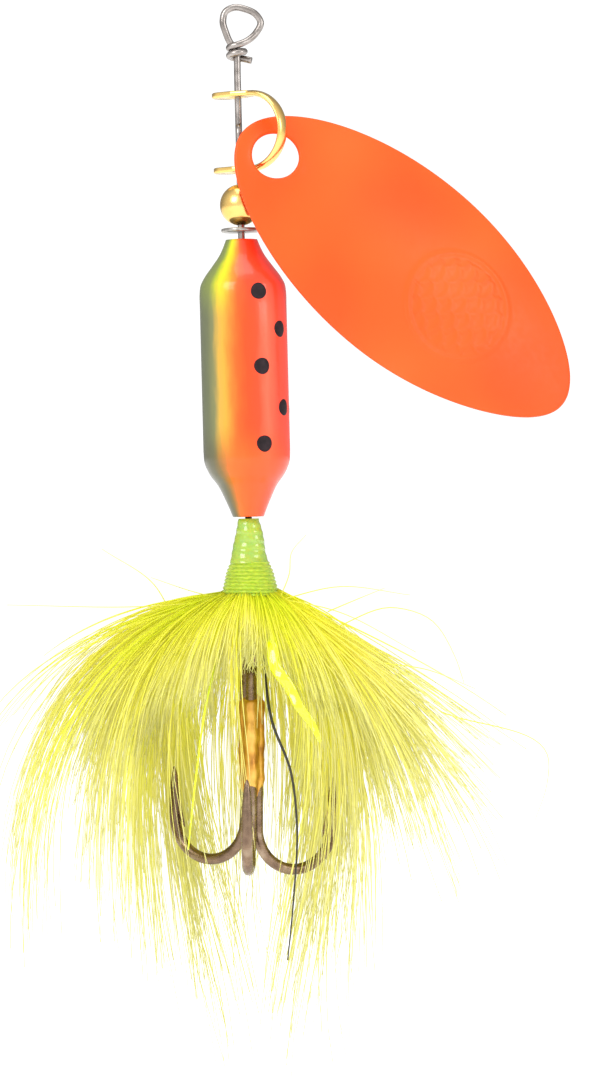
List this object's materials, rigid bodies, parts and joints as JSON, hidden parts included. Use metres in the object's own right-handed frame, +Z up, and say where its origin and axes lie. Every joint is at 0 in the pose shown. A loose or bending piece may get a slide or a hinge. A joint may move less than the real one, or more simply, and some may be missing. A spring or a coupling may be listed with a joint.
{
  "type": "inline spinner",
  "caption": "Inline spinner fishing lure: a blade swings on a clevis over a bead, washer and weighted body on a wire shaft, with a hackle tail and treble hook.",
  "frame": {"origin": "in the line-tie loop, on the axis of the wire shaft, where the line pulls", "axes": "+Z up along the shaft towards the line, +X to the side the blade hangs on, -Y towards the blade's outer face"},
  "size_m": [0.0389, 0.0241, 0.0858],
  "materials": {
    "stainless_wire": "bright drawn wire",
    "brass_plate": "polished",
    "orange_paint": "satin fluorescent",
    "nickel_plate": "dull nickel",
    "banded_paint": "gloss paint over a brass weight, banded green, yellow, orange and red with black dots",
    "clear_varnish": "gloss",
    "thread": "waxed thread",
    "bronzed_steel": "bronzed",
    "braze": "as brazed",
    "hackle": "dyed feather",
    "tinsel": "fluorescent film",
    "dark_quill": "dyed quill"
  },
  "bodies": {
    "shaft": {"wire_shaft": "stainless_wire", "head_varnish": "clear_varnish", "tying_thread": "thread", "hackle_front_left": "hackle", "hackle_front": "hackle", "hackle_front_right": "hackle", "hackle_inner_right": "hackle", "hackle_right": "hackle", "hackle_right_outer": "hackle", "hackle_back_right": "hackle", "hackle_inner_back": "hackle", "hackle_back_left": "hackle", "hackle_left_outer": "hackle", "hackle_left": "hackle", "hackle_inner_left": "hackle", "tinsel_right": "tinsel", "tinsel_left": "tinsel", "dark_quill": "dark_quill"},
    "clevis": {"clevis": "brass_plate"},
    "blade": {"blade": "orange_paint"},
    "bead": {"bead": "brass_plate"},
    "washer": {"washer": "nickel_plate"},
    "body": {"body": "banded_paint"},
    "hook": {"double_hook": "bronzed_steel", "single_hook": "bronzed_steel", "hook_braze": "braze"}
  },
  "joints": [
    {"name": "clevis_spin", "type": "hinge", "parent": "shaft", "child": "clevis", "pos_m": [0, 0, -0.00857], "axis": [0, 0, 1], "continuous": true},
    {"name": "blade_swing", "type": "hinge", "parent": "clevis", "child": "blade", "pos_m": [0.00291, -0.00155, -0.01072], "axis": [0.1676, -0.9523, 0.2552], "range_deg": [-7, 45]},
    {"name": "bead_slide", "type": "slide", "parent": "shaft", "child": "bead", "axis": [0, 0, 1], "range_m": [-0.0002, 0.0008]},
    {"name": "washer_slide", "type": "slide", "parent": "shaft", "child": "washer", "axis": [0, 0, 1], "range_m": [-0.0005, 0]},
    {"name": "body_spin", "type": "hinge", "parent": "shaft", "child": "body", "pos_m": [0, 0, -0.02843], "axis": [0, 0, 1], "continuous": true},
    {"name": "hook_swing", "type": "hinge", "parent": "shaft", "child": "hook", "pos_m": [0, 0, -0.04975], "axis": [0.8829, 0.4695, 0], "range_deg": [-50, 50], "deforming": ["hackle_front_left", "hackle_front", "hackle_front_right", "hackle_inner_right", "hackle_right", "hackle_right_outer", "hackle_back_right", "hackle_inner_back", "hackle_back_left", "hackle_left_outer", "hackle_left", "hackle_inner_left", "tinsel_right", "tinsel_left", "dark_quill"]}
  ]
}
